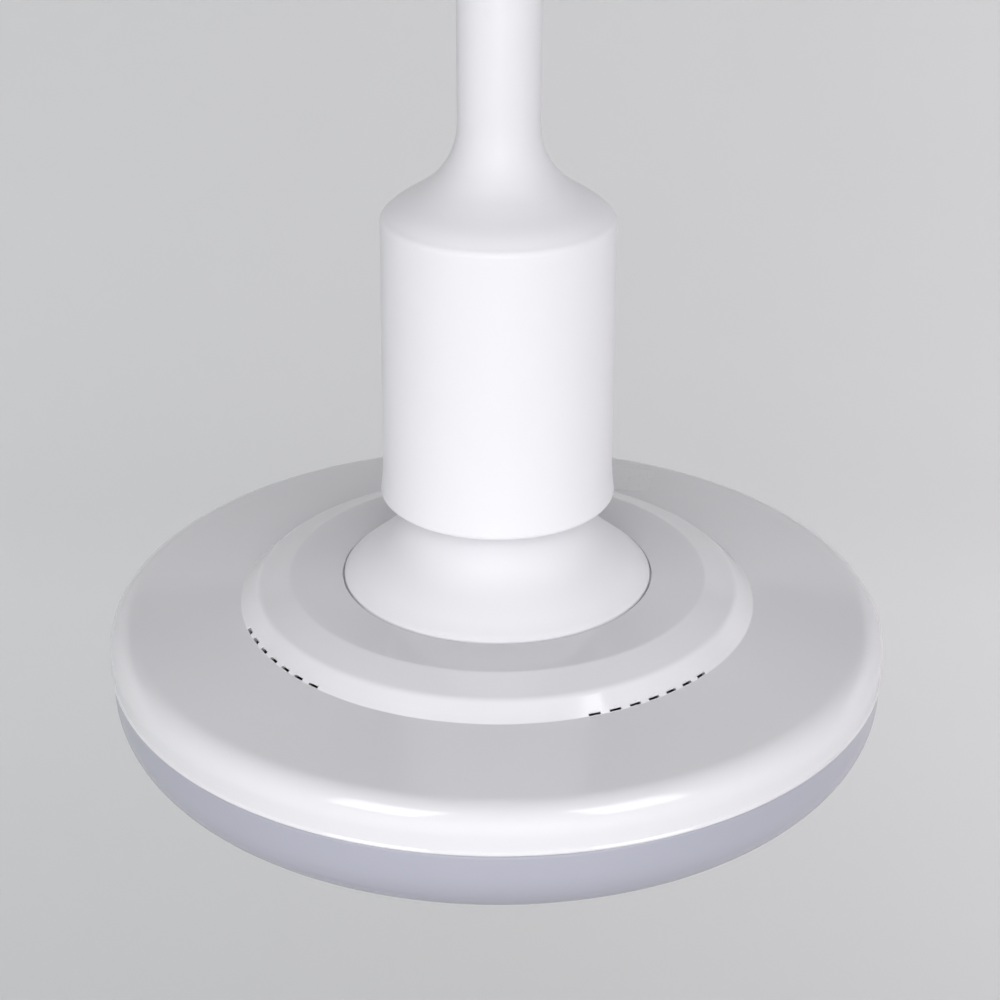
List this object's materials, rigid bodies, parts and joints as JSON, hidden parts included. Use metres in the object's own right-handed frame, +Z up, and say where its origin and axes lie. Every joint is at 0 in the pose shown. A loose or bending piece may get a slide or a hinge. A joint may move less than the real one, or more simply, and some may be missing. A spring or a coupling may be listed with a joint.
{
  "type": "led pendant lamp",
  "caption": "Rigid-stem ceiling pendant: flared lampholder cup on a slim stem, with a flat disc LED lamp screwed into it.",
  "frame": {"origin": "middle of the ceiling plate's ceiling face", "axes": "+Z up along the stem, away from the lamp; +X along the line of the two ceiling screw slots"},
  "size_m": [0.2494, 0.2494, 0.482],
  "materials": {
    "white_enamel": "gloss white enamel",
    "stem_enamel": "gloss white enamel",
    "housing_white": "gloss moulded white plastic",
    "neck_white": "satin gloss moulded white plastic",
    "cover_white": "gloss moulded white plastic",
    "opal_diffuser": "opal, lavender grey unlit",
    "sticker_paper": "blank, satin",
    "zinc_steel": "zinc plated",
    "carrier_steel": "zinc plated, rolled thread",
    "black_rubber": "matt",
    "block_plastic": "satin off-white",
    "terminal_brass": "bright",
    "holder_plastic": "gloss white",
    "block_ceramic": "satin",
    "shell_nickel": "nickel plated",
    "cap_nickel": "nickel plated, rolled thread",
    "cap_glass": "black",
    "tip_solder": "tinned",
    "contact_bronze": "phosphor bronze",
    "spring_steel": "bright wire",
    "wire_brown": "insulated, brown",
    "wire_blue": "insulated, blue",
    "wire_earth": "insulated, green and yellow",
    "lead_red": "insulated, red",
    "lead_black": "insulated, black",
    "lead_pair": "insulated, white",
    "plate_aluminium": "mill finish",
    "board_white": "white solder mask",
    "board_green": "green solder mask",
    "led_phosphor": "phosphor in white packages",
    "sheet_fish": "insulating sheet",
    "ferrite": "ferrite and yellow tape",
    "capacitor_can": "black sleeve",
    "component_body": "moulded",
    "standoff_nylon": "nylon",
    "connector_white": "nylon"
  },
  "bodies": {
    "fixture": {"ceiling_plate": "zinc_steel", "cable_grommet": "black_rubber", "hanger_yoke": "zinc_steel", "yoke_screws": "zinc_steel", "terminal_block": "block_plastic", "terminal_inserts": "terminal_brass", "terminal_screws": "zinc_steel", "terminal_block_screw": "zinc_steel", "earth_screw": "terminal_brass", "earth_lug": "zinc_steel", "earth_wire": "wire_earth", "live_wire": "wire_brown", "neutral_wire": "wire_blue", "carrier_tube": "carrier_steel", "lock_nuts": "zinc_steel", "lock_washers": "zinc_steel", "top_bush": "plate_aluminium", "stem_tube": "stem_enamel", "joint_bush": "plate_aluminium", "lampholder_housing": "housing_white", "holder_dome": "holder_plastic", "dome_grub_screw": "zinc_steel", "contact_block": "block_ceramic", "live_terminal": "terminal_brass", "neutral_terminal": "terminal_brass", "holder_terminal_screws": "zinc_steel", "screw_shell": "shell_nickel", "holder_skirt": "holder_plastic", "contact_spring": "spring_steel"},
    "canopy_set": {"canopy": "white_enamel", "canopy_collar": "white_enamel", "collar_grub_screw": "zinc_steel"},
    "sprung_contact": {"centre_contact": "contact_bronze"},
    "lamp": {"cap_shell": "cap_nickel", "cap_insulator": "cap_glass", "cap_tip": "tip_solder", "lamp_neck": "neck_white", "neck_screws": "zinc_steel", "top_cover": "cover_white", "blank_label": "sticker_paper", "led_plate": "plate_aluminium", "led_board": "board_white", "led_chips": "led_phosphor", "board_screws": "zinc_steel", "insulating_sheet": "sheet_fish", "driver_standoffs": "standoff_nylon", "driver_board": "board_green", "driver_screws": "zinc_steel", "driver_transformer": "ferrite", "driver_capacitors": "capacitor_can", "driver_small_parts": "component_body", "cap_lead_live": "lead_red", "cap_lead_neutral": "lead_black", "board_connector": "connector_white", "led_leads": "lead_pair", "diffuser": "opal_diffuser"}
  },
  "joints": [
    {"name": "canopy_slide", "type": "slide", "parent": "fixture", "child": "canopy_set", "axis": [0, 0, -1], "range_m": [0, 0.15]},
    {"name": "contact_travel", "type": "slide", "parent": "fixture", "child": "sprung_contact", "axis": [0, 0, -1], "range_m": [0, 0.00275], "deforming": ["contact_spring"]},
    {"name": "lamp_unscrew", "type": "hinge", "parent": "sprung_contact", "child": "lamp", "pos_m": [0, 0, -0.3485], "axis": [0, 0, -1], "range_deg": [0, 270]}
  ],
  "couplings": [
    {"joint": "contact_travel", "follows": "lamp_unscrew", "m_per_rad": 0.00057757}
  ]
}
